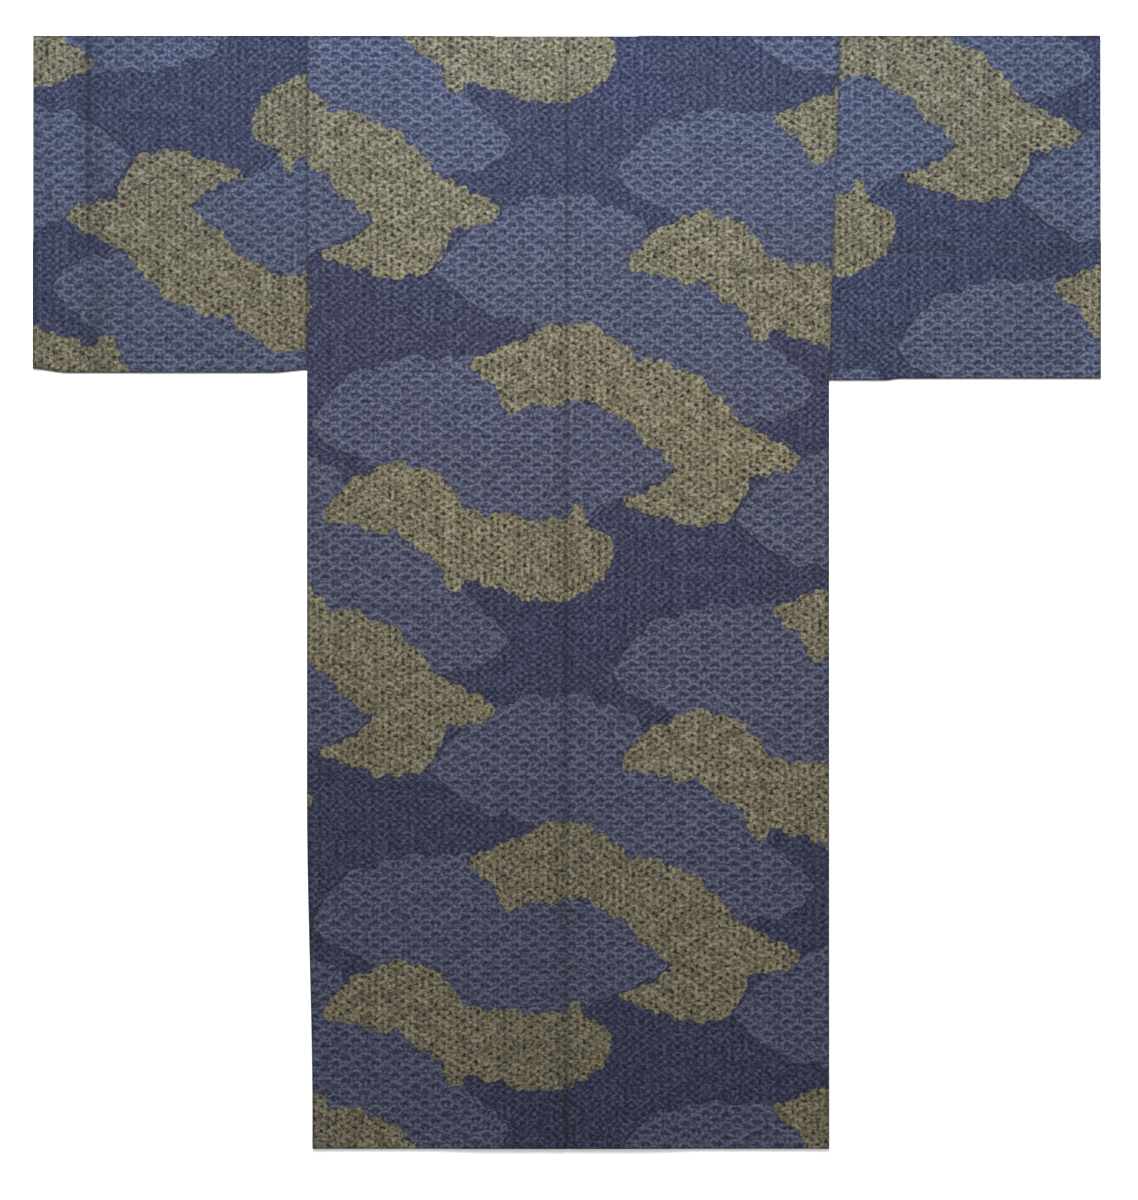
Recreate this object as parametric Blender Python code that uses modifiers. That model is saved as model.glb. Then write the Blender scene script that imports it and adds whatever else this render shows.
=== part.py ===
"""A cotton yukata robe, laid flat on a surface with its back up.

The robe is cut as it really is, in straight strips of one cloth: a body strip for each side that runs from the
back hem over the shoulder to the front hem, a folded strip for each sleeve, a narrow overlap panel (okumi) on
each front edge, and one long collar band. Each piece is a thin wall of its own, and sewn edges lie SEAM_GAP apart.

+X is to the right as one looks down on the back, +Y runs from the hem to the shoulders, +Z is up.
The origin is on the resting plane, under the middle of the outline. The wearer's left is at -X.
"""

import bpy
import numpy as np

# The outline, in metres.
LENGTH = 1.400
WINGSPAN = 1.344
SHOULDER_Y = LENGTH / 2
HEM_Y = -LENGTH / 2
FRONT_HEM_RISE = 0.003

# Half widths of the body as it lies, from the centre seam to each side.
LEFT_HALF = 0.3267
LEFT_HALF_AT_HEM = 0.3198
LEFT_TAPER_TOP_Y = -0.26
LEFT_TAPER_END_Y = -0.66
RIGHT_HALF = 0.3299
RIGHT_HALF_AT_SHOULDER = 0.3437

# Sleeves: the drop of each as it lies, the hand opening from the shoulder fold down, and how its lower edge runs:
# the left one rises to both ends, and the right one steps up a little outwards.
LEFT_SLEEVE_DROP = 0.4245
RIGHT_SLEEVE_DROP = 0.4340
HAND_OPENING = 0.260
LEFT_CORNER_RISE = 0.005
LEFT_ARMHOLE_RISE = 0.0035
LEFT_RISE_REACH = 0.045
RIGHT_STEP_RISE = 0.0022
RIGHT_STEP_START = 0.070
RIGHT_STEP_REACH = 0.020

# Front: half of the neck slit, the okumi seam and edge, and the collar's end, measured below the shoulder.
NECK_HALF = 0.090
OKUMI_SEAM = 0.068
OVERLAP = 0.082
COLLAR_END_DEPTH = 0.700
COLLAR_CURVE = 1.6
COLLAR_WIDTH = 0.055
COLLAR_TURN_SPREAD = 0.3
OKUMI_TIP = 0.002

# Walls and clearances.
CLOTH = 0.0011
COLLAR_CLOTH = 0.0024
LAYER_GAP = 0.0005
SEAM_GAP = 0.0003
LAYER = CLOTH + LAYER_GAP
COLLAR_LAYER = COLLAR_CLOTH + LAYER_GAP

# Where an upper layer climbs over a lower one, it is at full height this far outside it, and back down after the fall.
CLIMB_CLEAR = 0.014
CLIMB_FALL = 0.080
CROSSING_START_DEPTH = 0.070
CROSSING_FULL_DEPTH = 0.225

# Mesh steps. The rows are shared by all pieces of one side, so that sewn edges run alike.
ROWS_TO_OKUMI = 5
ROWS_TO_HAND_OPENING = 2
ROWS_TO_SLEEVE_BOTTOM = 4
ROWS_TO_COLLAR_END = 7
ROWS_TO_HEM = 16
NECK_COLUMNS = 5
BODY_COLUMNS = 12
SLEEVE_COLUMNS = 12
CUFF_CROWDING = 1.6
OKUMI_COLUMNS = 5
COLLAR_COLUMNS = 3
NECK_BAND_ROWS = 5

# Broad swells in the cloth that lies on top: centre, reach along and across, turn in degrees, and height.
SWELLS = (
    # x, y, along, across, turn, height
    (-0.50, 0.47, 0.16, 0.07, 84, 0.0016),
    (-0.43, 0.33, 0.12, 0.05, 12, 0.0010),
    (-0.60, 0.58, 0.08, 0.05, 60, 0.0008),
    (0.52, 0.45, 0.18, 0.07, 5, 0.0015),
    (0.58, 0.58, 0.11, 0.05, -20, 0.0011),
    (0.43, 0.34, 0.10, 0.05, 15, 0.0009),
    (-0.17, 0.20, 0.22, 0.08, 80, 0.0012),
    (0.19, 0.05, 0.26, 0.08, 97, 0.0014),
    (-0.19, -0.28, 0.24, 0.08, 92, 0.0013),
    (0.17, -0.42, 0.20, 0.07, 84, 0.0011),
    (-0.10, 0.50, 0.12, 0.06, 10, 0.0007),
    (0.20, 0.46, 0.14, 0.06, -8, 0.0008),
    (-0.14, -0.60, 0.12, 0.05, 4, 0.0007),
    (0.12, -0.61, 0.14, 0.05, -5, 0.0006),
)

COLOURS = {
    "body": (0.075, 0.085, 0.165, 1.0),
    "sleeve": (0.080, 0.092, 0.175, 1.0),
    "okumi": (0.095, 0.108, 0.190, 1.0),
    "collar": (0.060, 0.068, 0.135, 1.0),
}
COTTON_ROUGHNESS = 0.85


def ease(t):
    """0 to 1 with a soft start and end, held outside that range."""
    t = np.clip(t, 0.0, 1.0)
    return t * t * (3 - 2 * t)


def covers(outside, clear=CLIMB_CLEAR, fall=CLIMB_FALL):
    """1 over a lower piece and a little past its edge, falling to 0. outside is the distance past that edge."""
    return 1 - ease((outside - clear) / fall)


def side_edge(side, y):
    """Distance from the centre seam to the side of the body at height y. side is -1 on the left, 1 on the right."""
    if side < 0:
        taper = ease((LEFT_TAPER_TOP_Y - y) / (LEFT_TAPER_TOP_Y - LEFT_TAPER_END_Y))
        return LEFT_HALF + (LEFT_HALF_AT_HEM - LEFT_HALF) * taper
    armhole_y = sleeve_bottom(side)
    rise = np.clip((y - armhole_y) / (SHOULDER_Y - armhole_y), 0.0, 1.0)
    return RIGHT_HALF + (RIGHT_HALF_AT_SHOULDER - RIGHT_HALF) * rise


def sleeve_bottom(side):
    """The height of a sleeve's lower edge."""
    return SHOULDER_Y - (LEFT_SLEEVE_DROP if side < 0 else RIGHT_SLEEVE_DROP)


def bottom_rise(side, across):
    """How far a sleeve's lower edge lies above its lowest point, at a distance from the centre."""
    from_armhole = across - side_edge(side, sleeve_bottom(side))
    if side > 0:
        return RIGHT_STEP_RISE * ease((from_armhole - RIGHT_STEP_START) / RIGHT_STEP_REACH)
    from_cuff = WINGSPAN / 2 - across
    corner = LEFT_CORNER_RISE * (1 - ease(from_cuff / LEFT_RISE_REACH))
    return corner + LEFT_ARMHOLE_RISE * (1 - ease(from_armhole / LEFT_RISE_REACH))


def collar_seam(depth):
    """Distance of the collar's seam from the centre, towards its own side, at a depth below the shoulder."""
    share = np.clip(depth / COLLAR_END_DEPTH, 0.0, 1.0)
    return NECK_HALF - (NECK_HALF + OVERLAP) * share**COLLAR_CURVE


def collar_free_edge(depth):
    """The same for the collar's folded edge, which is the garment's front edge."""
    return collar_seam(depth) - COLLAR_WIDTH


def front_reach(depth):
    """How far a front with its collar reaches past the centre line at a depth below the shoulder."""
    below_collar = ease((depth - COLLAR_END_DEPTH) / CLIMB_FALL)
    return -collar_free_edge(depth) * (1 - below_collar) + OVERLAP * below_collar


def collar_band(across, depth):
    """1 on a front's collar and close by. across is the distance from the centre line towards that front's side."""
    past_seam = covers(across - collar_seam(depth))
    past_free_edge = covers(collar_free_edge(depth) - across)
    past_end = covers(depth - COLLAR_END_DEPTH)
    return past_seam * past_free_edge * past_end


def under_right_front(x, y):
    """The height of the top of the left front's pieces, with clearance, which the right front climbs over."""
    depth = SHOULDER_Y - y
    crossing = ease((depth - CROSSING_START_DEPTH) / (CROSSING_FULL_DEPTH - CROSSING_START_DEPTH))
    on_left_front = covers(x - front_reach(depth))
    on_left_collar = collar_band(-x, depth)
    return crossing * on_left_front * (LAYER + (COLLAR_LAYER - LAYER) * on_left_collar)


def under_back(x, y):
    """The height of the top of everything that the back lies on, with clearance."""
    depth = SHOULDER_Y - y
    on_right_front = covers(-x - front_reach(depth))
    lower = under_right_front(x, y) * on_right_front
    plain = lower + LAYER
    right_collar = (lower + COLLAR_LAYER) * collar_band(x, depth)
    left_collar = COLLAR_LAYER * collar_band(-x, depth)
    neck_band = COLLAR_LAYER * covers(depth - COLLAR_WIDTH) * covers(np.abs(x) - NECK_HALF)
    return np.maximum.reduce([plain, right_collar, left_collar, neck_band])


def swell(x, y):
    """How far the top cloth stands above what it lies on, from the broad swells, which fade at the outline."""
    height = np.zeros(np.broadcast(x, y).shape)
    for centre_x, centre_y, along, across, turn, top in SWELLS:
        angle = np.radians(turn)
        run = (x - centre_x) * np.cos(angle) + (y - centre_y) * np.sin(angle)
        off = (y - centre_y) * np.cos(angle) - (x - centre_x) * np.sin(angle)
        height = height + top * np.exp(-((run / along) ** 2) - (off / across) ** 2)
    edge = np.minimum(SHOULDER_Y - y, y - HEM_Y)
    return height * ease(edge / 0.06)


def top_level(x, y):
    """Middle of the wall of the cloth on top: the back and the backs of the sleeves."""
    return under_back(x, y) + CLOTH / 2 + swell(x, y)


def bottom_level(side, x, y):
    """Middle of the wall of a front: on the surface on the left, and over the left front's pieces on the right."""
    lift = under_right_front(x, y) if side > 0 else 0.0 * x
    return lift + CLOTH / 2


def wall(name, points, faces, thickness, colour):
    """A named sheet of cloth from its middle surface, thickened evenly to both sides."""
    mesh = bpy.data.meshes.new(name)
    mesh.from_pydata([tuple(map(float, p)) for p in points], [], faces)
    mesh.validate()
    mesh.update()
    piece = bpy.data.objects.new(name, mesh)
    garment.objects.link(piece)
    mesh.materials.append(cotton(colour))
    solidify = piece.modifiers.new("cloth thickness", "SOLIDIFY")
    solidify.thickness = thickness
    solidify.offset = 0.0
    solidify.use_even_offset = True
    solidify.use_quality_normals = True
    return piece


def cotton(name):
    """Dyed cotton, one material for each kind of piece."""
    material = bpy.data.materials.get(name)
    if material is None:
        material = bpy.data.materials.new(name)
        material.use_nodes = True
        shader = material.node_tree.nodes["Principled BSDF"]
        shader.inputs["Base Color"].default_value = COLOURS[name]
        shader.inputs["Roughness"].default_value = COTTON_ROUGHNESS
        shader.inputs["Metallic"].default_value = 0.0
    return material


class Surface:
    """Points and faces of one sheet, with points found again by their row and column."""

    def __init__(self):
        self.points = []
        self.faces = []
        self.index = {}

    def add(self, key, point):
        self.index[key] = len(self.points)
        self.points.append(point)

    def face(self, *keys):
        self.faces.append([self.index[key] for key in keys])


def facing_up(side, keys):
    """Corner order for a face on top, the same way round on both sides of the robe."""
    return keys if side > 0 else keys[::-1]


def okumi_top():
    """Depth of the okumi's top, where it is OKUMI_TIP wide between the collar and its seam."""
    seam = OKUMI_SEAM - 1.5 * SEAM_GAP - OKUMI_TIP
    return COLLAR_END_DEPTH * ((NECK_HALF - seam) / (NECK_HALF + OVERLAP)) ** (1 / COLLAR_CURVE)


def row_depths(side):
    """Depths of the mesh rows on one side, from the shoulder to the hem."""
    sleeve_drop = LEFT_SLEEVE_DROP if side < 0 else RIGHT_SLEEVE_DROP
    stations = (
        # depth, rows from the station before
        (okumi_top(), ROWS_TO_OKUMI),
        (HAND_OPENING, ROWS_TO_HAND_OPENING),
        (sleeve_drop, ROWS_TO_SLEEVE_BOTTOM),
        (COLLAR_END_DEPTH, ROWS_TO_COLLAR_END),
        (LENGTH, ROWS_TO_HEM),
    )
    depths = [0.0]
    for depth, rows in stations:
        depths.extend(np.linspace(depths[-1], depth, rows + 1)[1:])
    return np.array(depths)


def strip_rows(side):
    """Heights of the mesh rows of a body strip, from the hem to the shoulder."""
    return SHOULDER_Y - row_depths(side)[::-1]


def sleeve_rows(side):
    """Heights of the mesh rows between a sleeve's lower edge and the shoulder."""
    return strip_rows(side)[ROWS_TO_HEM + ROWS_TO_COLLAR_END :]


def front_inner_edge(depth):
    """Distance of a front panel's inner edge from the centre: along the collar, and then along the okumi."""
    return np.maximum(collar_seam(depth) + SEAM_GAP, OKUMI_SEAM + SEAM_GAP / 2)


def fold_radius(side, x):
    """Half of the height between the back and the front at the shoulder fold."""
    return (top_level(x, SHOULDER_Y) - bottom_level(side, x, SHOULDER_Y)) / 2


def body_strip(side):
    """One side of the body: back, shoulder fold and front in one strip, with the side seam below the armhole."""
    sheet = Surface()
    rows = strip_rows(side)
    top_row = len(rows) - 1
    seam_turn = LAYER / 2
    neck = np.linspace(SEAM_GAP / 2, NECK_HALF, NECK_COLUMNS + 1)[:-1]
    shares = np.linspace(0.0, 1.0, BODY_COLUMNS + 1)
    columns = range(-NECK_COLUMNS, BODY_COLUMNS + 1)

    def back_across(column, y):
        if column < 0:
            return neck[column + NECK_COLUMNS]
        return NECK_HALF + shares[column] * (side_edge(side, y) - seam_turn - NECK_HALF)

    def front_across(column, y):
        inner = front_inner_edge(SHOULDER_Y - y)
        return inner + shares[column] * (side_edge(side, y) - seam_turn - inner)

    for i, y in enumerate(rows):
        for column in columns:
            across = back_across(column, y)
            x = side * across
            drop = 0.0
            if i == top_row:
                drop = fold_radius(side, x) if column >= 0 else CLOTH / 2
            sheet.add(("back", i, column), (x, y - drop, top_level(x, y)))
            if column >= 0:
                x = side * front_across(column, y)
                rise = FRONT_HEM_RISE if i == 0 else 0.0
                sheet.add(("front", i, column), (x, y - drop + rise, bottom_level(side, x, y)))

    for column in range(BODY_COLUMNS + 1):
        x = side * back_across(column, SHOULDER_Y)
        radius = fold_radius(side, x)
        middle = bottom_level(side, x, SHOULDER_Y) + radius
        for step in (1, 2):
            angle = np.pi * step / 3
            y = SHOULDER_Y - CLOTH / 2 - radius + radius * np.sin(angle)
            sheet.add(("fold", step, column), (x, y, middle + radius * np.cos(angle)))

    armhole_row = ROWS_TO_HEM + ROWS_TO_COLLAR_END
    for i in range(armhole_row + 1):
        y = rows[i] + (FRONT_HEM_RISE / 2 if i == 0 else 0.0)
        x = side * side_edge(side, rows[i]) - side * CLOTH / 2
        top = top_level(x, rows[i])
        sheet.add(("seam", i), (x, y, (top + bottom_level(side, x, rows[i])) / 2))

    for i in range(top_row):
        for column in list(columns)[:-1]:
            quad = [("back", i, column), ("back", i, column + 1), ("back", i + 1, column + 1), ("back", i + 1, column)]
            sheet.face(*facing_up(side, quad))
            if column >= 0:
                quad = [(layer.replace("back", "front"), *place) for layer, *place in quad]
                sheet.face(*facing_up(side, quad)[::-1])
    fold = ["back", "fold1", "fold2", "front"]
    key_of = {
        "back": lambda column: ("back", top_row, column),
        "fold1": lambda column: ("fold", 1, column),
        "fold2": lambda column: ("fold", 2, column),
        "front": lambda column: ("front", top_row, column),
    }
    for column in range(BODY_COLUMNS):
        for here, after in zip(fold, fold[1:]):
            quad = [key_of[here](column), key_of[here](column + 1), key_of[after](column + 1), key_of[after](column)]
            sheet.face(*facing_up(side, quad))
    last = BODY_COLUMNS
    for i in range(armhole_row):
        upper = [("back", i, last), ("seam", i), ("seam", i + 1), ("back", i + 1, last)]
        lower = [("seam", i), ("front", i, last), ("front", i + 1, last), ("seam", i + 1)]
        sheet.face(*facing_up(side, upper))
        sheet.face(*facing_up(side, lower))
    return wall(f"{side_name(side)}_body", sheet.points, sheet.faces, CLOTH, "body")


def sleeve(side):
    """A sleeve: a strip folded at the shoulder and sewn along the bottom and the lower part of the cuff."""
    sheet = Surface()
    rows = sleeve_rows(side)
    top_row = len(rows) - 1
    turn = LAYER / 2
    cuff = WINGSPAN / 2 - CLOTH / 2
    shares = 1 - np.linspace(1.0, 0.0, SLEEVE_COLUMNS + 1) ** CUFF_CROWDING
    last = SLEEVE_COLUMNS
    closed_rows = [i for i, y in enumerate(rows) if y <= SHOULDER_Y - HAND_OPENING]

    def across(column, y):
        inner = side_edge(side, y) + SEAM_GAP
        return inner + shares[column] * (cuff - turn - inner)

    for i, y in enumerate(rows):
        for column in range(last + 1):
            x = side * across(column, y)
            place = y + (bottom_rise(side, abs(x)) + turn if i == 0 else 0.0)
            if i == top_row:
                place = y - CLOTH / 2 - fold_radius(side, x)
            sheet.add(("back", i, column), (x, place, top_level(x, y)))
            sheet.add(("front", i, column), (x, place, CLOTH / 2))

    for column in range(last + 1):
        x = side * across(column, SHOULDER_Y)
        radius = fold_radius(side, x)
        for step in (1, 2):
            angle = np.pi * step / 3
            y = SHOULDER_Y - CLOTH / 2 - radius + radius * np.sin(angle)
            sheet.add(("fold", step, column), (x, y, CLOTH / 2 + radius + radius * np.cos(angle)))
        x = side * across(column, rows[0])
        middle = (top_level(x, rows[0]) + CLOTH / 2) / 2
        sheet.add(("bottom", column), (x, rows[0] + CLOTH / 2 + bottom_rise(side, abs(x)), middle))
    for i in closed_rows:
        middle = (top_level(side * cuff, rows[i]) + CLOTH / 2) / 2
        lift = bottom_rise(side, cuff) + turn if i == 0 else 0.0
        sheet.add(("cuff", i), (side * cuff, rows[i] + lift, middle))

    for column in range(last):
        for i in range(top_row):
            quad = [("back", i, column), ("back", i, column + 1), ("back", i + 1, column + 1), ("back", i + 1, column)]
            sheet.face(*facing_up(side, quad))
            quad = [(layer.replace("back", "front"), *place) for layer, *place in quad]
            sheet.face(*facing_up(side, quad)[::-1])
        fold = [("back", top_row), ("fold", 1), ("fold", 2), ("front", top_row)]
        for here, after in zip(fold, fold[1:]):
            quad = [(*here, column), (*here, column + 1), (*after, column + 1), (*after, column)]
            sheet.face(*facing_up(side, quad))
        upper = [("bottom", column), ("bottom", column + 1), ("back", 0, column + 1), ("back", 0, column)]
        lower = [("front", 0, column), ("front", 0, column + 1), ("bottom", column + 1), ("bottom", column)]
        sheet.face(*facing_up(side, upper))
        sheet.face(*facing_up(side, lower))
    for i in closed_rows[:-1]:
        upper = [("back", i, last), ("cuff", i), ("cuff", i + 1), ("back", i + 1, last)]
        lower = [("cuff", i), ("front", i, last), ("front", i + 1, last), ("cuff", i + 1)]
        sheet.face(*facing_up(side, upper))
        sheet.face(*facing_up(side, lower))
    corner = [("bottom", last), ("front", 0, last), ("cuff", 0), ("back", 0, last)]
    sheet.face(*facing_up(side, corner))
    return wall(f"{side_name(side)}_sleeve", sheet.points, sheet.faces, CLOTH, "sleeve")


def okumi(side):
    """The overlap panel on a front's edge, from its pointed top beside the collar down to the hem."""
    sheet = Surface()
    shares = np.linspace(0.0, 1.0, OKUMI_COLUMNS + 1)
    depths = row_depths(side)[ROWS_TO_OKUMI:]
    depths[-1] -= FRONT_HEM_RISE
    outer = OKUMI_SEAM - SEAM_GAP / 2
    for i, depth in enumerate(depths):
        inner = collar_seam(depth) + SEAM_GAP
        y = SHOULDER_Y - depth
        for column, share in enumerate(shares):
            x = side * (inner + share * (outer - inner))
            sheet.add((i, column), (x, y, bottom_level(side, x, y)))
    for i in range(len(depths) - 1):
        for column in range(OKUMI_COLUMNS):
            quad = [(i, column), (i, column + 1), (i + 1, column + 1), (i + 1, column)]
            sheet.face(*facing_up(side, quad)[::-1])
    return wall(f"{side_name(side)}_okumi", sheet.points, sheet.faces, CLOTH, "okumi")


def collar_lines(side):
    """Pairs of points, on the seam and on the folded edge, from the middle of the neck to the collar's end."""
    pairs = []
    turn = NECK_HALF - COLLAR_WIDTH
    for share in np.linspace(0.0, 1.0, NECK_BAND_ROWS + 1):
        pairs.append(((NECK_HALF * share, CLOTH), (turn * share, CLOTH + COLLAR_WIDTH)))
    for depth in row_depths(side)[1:]:
        if depth > COLLAR_END_DEPTH:
            break
        seam = (float(collar_seam(depth)), depth)
        square = free_point(depth)
        settled = float(ease(depth / (2 * COLLAR_WIDTH)))
        corner = (turn, COLLAR_WIDTH + CLOTH + depth * COLLAR_TURN_SPREAD)
        free = tuple(corner[k] + (square[k] - corner[k]) * settled for k in (0, 1))
        pairs.append((seam, free))
    return pairs


def free_point(depth):
    """The point on the folded edge that is square across the band from the seam at this depth."""
    step = 0.001
    slope = float(collar_seam(depth) - collar_seam(depth - step)) / step
    length = np.hypot(1.0, slope)
    across = float(collar_seam(depth)) - COLLAR_WIDTH / length
    return across, depth + COLLAR_WIDTH * slope / length


def collar():
    """The collar band: from the left end up to the neck, across behind it and down to the right end."""
    sheet = Surface()
    left = [(-1, pair) for pair in collar_lines(-1)[:0:-1]]
    right = [(1, pair) for pair in collar_lines(1)]
    shares = np.linspace(0.0, 1.0, COLLAR_COLUMNS + 1)
    for i, (side, (seam, free)) in enumerate(left + right):
        for column, share in enumerate(shares):
            x = side * (seam[0] + share * (free[0] - seam[0]))
            depth = seam[1] + share * (free[1] - seam[1])
            y = SHOULDER_Y - depth
            lift = under_right_front(x, y) if side > 0 else 0.0
            sheet.add((i, column), (x, y, lift + COLLAR_CLOTH / 2))
    for i in range(len(left + right) - 1):
        for column in range(COLLAR_COLUMNS):
            sheet.face((i, column), (i, column + 1), (i + 1, column + 1), (i + 1, column))
    return wall("collar", sheet.points, sheet.faces, COLLAR_CLOTH, "collar")


def side_name(side):
    """The wearer's side. The back is up, so the wearer's left lies at -X."""
    return "left" if side < 0 else "right"


def clear_scene():
    """Removes what the new scene starts with."""
    for leftover in list(bpy.data.objects):
        bpy.data.objects.remove(leftover)


clear_scene()
garment = bpy.data.collections.new("yukata robe")
bpy.context.scene.collection.children.link(garment)
for wearer_side in (-1, 1):
    body_strip(wearer_side)
    sleeve(wearer_side)
    okumi(wearer_side)
collar()
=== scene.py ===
"""The look of a cotton yukata robe that lies flat with its back up.

Each piece of the robe is a thin shell of cloth on its solid's form, with its creases, seams and turnings. The cloth
is printed with overlapping clouds in tan and slate blue on navy, and each of the three grounds has a fine filling.
+X is right as one looks down on the back, +Y runs to the shoulders, +Z is up, all in metres.
"""

import itertools

import bpy
import numpy as np
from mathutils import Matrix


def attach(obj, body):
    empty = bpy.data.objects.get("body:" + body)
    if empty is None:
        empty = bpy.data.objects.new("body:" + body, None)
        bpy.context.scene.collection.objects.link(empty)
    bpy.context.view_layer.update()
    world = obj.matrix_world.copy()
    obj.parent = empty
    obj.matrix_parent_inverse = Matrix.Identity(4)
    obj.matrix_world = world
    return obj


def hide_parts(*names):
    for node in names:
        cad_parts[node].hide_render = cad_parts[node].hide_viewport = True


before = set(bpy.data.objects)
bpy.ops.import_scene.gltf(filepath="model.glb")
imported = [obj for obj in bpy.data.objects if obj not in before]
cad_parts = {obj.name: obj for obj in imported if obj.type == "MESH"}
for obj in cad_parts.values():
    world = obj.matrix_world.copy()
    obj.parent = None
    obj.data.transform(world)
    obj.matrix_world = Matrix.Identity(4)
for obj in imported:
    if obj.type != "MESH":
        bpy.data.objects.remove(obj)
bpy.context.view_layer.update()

# The robe's sizes, as its solids have them.
LENGTH = 1.400
WINGSPAN = 1.344
SHOULDER_Y = LENGTH / 2
HEM_Y = -LENGTH / 2
FRONT_HEM_RISE = 0.003
RISE_REACH = 0.05
LEFT_HALF = 0.3267
LEFT_HALF_AT_HEM = 0.3198
LEFT_TAPER_TOP_Y = -0.26
LEFT_TAPER_END_Y = -0.66
RIGHT_HALF = 0.3299
RIGHT_HALF_AT_SHOULDER = 0.3437
LEFT_SLEEVE_DROP = 0.4245
RIGHT_SLEEVE_DROP = 0.4340
HAND_OPENING = 0.260
LEFT_CORNER_RISE = 0.005
LEFT_ARMHOLE_RISE = 0.0035
LEFT_RISE_REACH = 0.045
RIGHT_STEP_RISE = 0.0022
RIGHT_STEP_START = 0.070
RIGHT_STEP_REACH = 0.020
NECK_HALF = 0.090
OKUMI_SEAM = 0.068
OVERLAP = 0.082
COLLAR_END = 0.700
COLLAR_CURVE = 1.6
COLLAR_WIDTH = 0.055
COLLAR_TURN_SPREAD = 0.3
SLOPE_STEP = 0.001
OKUMI_TIP = 0.002
CLOTH = 0.0011
COLLAR_CLOTH = 0.0024
LAYER_GAP = 0.0005
SEAM_GAP = 0.0003
LAYER = CLOTH + LAYER_GAP
COLLAR_LAYER = COLLAR_CLOTH + LAYER_GAP
CLIMB_CLEAR = 0.014
CLIMB_FALL = 0.080
CROSSING_START_DEPTH = 0.070
CROSSING_FULL_DEPTH = 0.225

# The shells: thickness of the shown cloth, mesh steps, folds and turns, and how the patches are joined.
SHELL = 0.0008
STEP = 0.005
FINE_STEPS = (0.0, 0.0011, 0.0024, 0.0040, 0.0060)
FINE_REACH = 0.0090
FOLD_STEPS = 6
FOLD_CLOTH = 0.004
LAST_ROW_Y = SHOULDER_Y - 0.0016
TURN_STEPS = 4
SEAM_TURN = LAYER / 2
OKUMI_COLUMNS = 25
NECK_ROWS = 19
COLLAR_COLUMNS = 9
SHOWN_GAP = 0.00004
WELD_REACH = 0.00002
SHARP_ANGLE = 60
TINY = 1e-6

# Broad swells in the cloth that lies on top, as the solids have them.
SWELLS = (
    # x, y, along, across, turn, height
    (-0.50, 0.47, 0.16, 0.07, 84, 0.0016),
    (-0.43, 0.33, 0.12, 0.05, 12, 0.0010),
    (-0.60, 0.58, 0.08, 0.05, 60, 0.0008),
    (0.52, 0.45, 0.18, 0.07, 5, 0.0015),
    (0.58, 0.58, 0.11, 0.05, -20, 0.0011),
    (0.43, 0.34, 0.10, 0.05, 15, 0.0009),
    (-0.17, 0.20, 0.22, 0.08, 80, 0.0012),
    (0.19, 0.05, 0.26, 0.08, 97, 0.0014),
    (-0.19, -0.28, 0.24, 0.08, 92, 0.0013),
    (0.17, -0.42, 0.20, 0.07, 84, 0.0011),
    (-0.10, 0.50, 0.12, 0.06, 10, 0.0007),
    (0.20, 0.46, 0.14, 0.06, -8, 0.0008),
    (-0.14, -0.60, 0.12, 0.05, 4, 0.0007),
    (0.12, -0.61, 0.14, 0.05, -5, 0.0006),
)
SWELL_FADE = 0.06

# Creases of the cloth on top, in millimetres: ends, bow to the side, half width, and height, below 0 for a trough.
CREASES = (
    # x0, y0, x1, y1, bow, half_width, height
    (-598, 690, -596, 285, 4, 6.5, -0.6),
    (-610, 660, -607, 300, 3, 9, 0.7),
    (-470, 452, -335, 456, 6, 6, 0.7),
    (-455, 441, -340, 443, 4, 6, -0.4),
    (-560, 330, -400, 352, -10, 8, 0.6),
    (-530, 600, -420, 560, 12, 8, 0.5),
    (350, 441, 640, 436, 5, 5.5, 1),
    (360, 426, 655, 423, -4, 5, -0.4),
    (380, 413, 620, 410, 5, 5.5, 0.8),
    (345, 458, 520, 463, 6, 6.5, 0.6),
    (634, 685, 637, 290, 2, 6.5, -0.5),
    (480, 310, 640, 325, 10, 8, 0.7),
    (420, 600, 560, 640, -10, 8, 0.5),
    (-320, -12, 325, -20, 6, 7, 0.6),
    (-318, -26, 322, -34, 6, 6, -0.4),
    (-318, -233, 326, -236, -5, 6.5, 0.6),
    (-320, -246, 322, -249, -5, 6, -0.4),
    (-300, 215, -80, 196, 10, 8, 0.5),
    (60, 302, 310, 270, 14, 8, 0.5),
    (-250, 560, -90, 520, -12, 8.5, 0.5),
    (100, 590, 290, 560, 10, 8, 0.5),
    (-180, -420, -120, -660, 12, 9, 0.5),
    (210, -390, 180, -600, -10, 9, 0.5),
    (-260, -120, -225, -210, 6, 7, 0.4),
    (90, -90, 70, -205, 6, 7, 0.4),
    (-315, 268, -200, 300, 8, 6, 0.6),
    (322, 262, 215, 300, -8, 6, 0.6),
)
CREASE_ENDS = 0.18
CREASE_WAVER = 0.15
CREASE_WAVER_TURNS = 3.3
CREASE_UNEVEN = (0.25, 9.0, 40.0)
# How far the creases keep from each seam and from the cuffs, and how low they are on the hidden fronts.
CLEAR_OF_CENTRE = 0.012
CLEAR_OF_SIDE = 0.02
CLEAR_OF_ARMHOLE = 0.015
CLEAR_OF_CUFF = 0.01
HIDDEN_CREASES = 0.25
HIDDEN_LIFT = 0.0001

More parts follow.
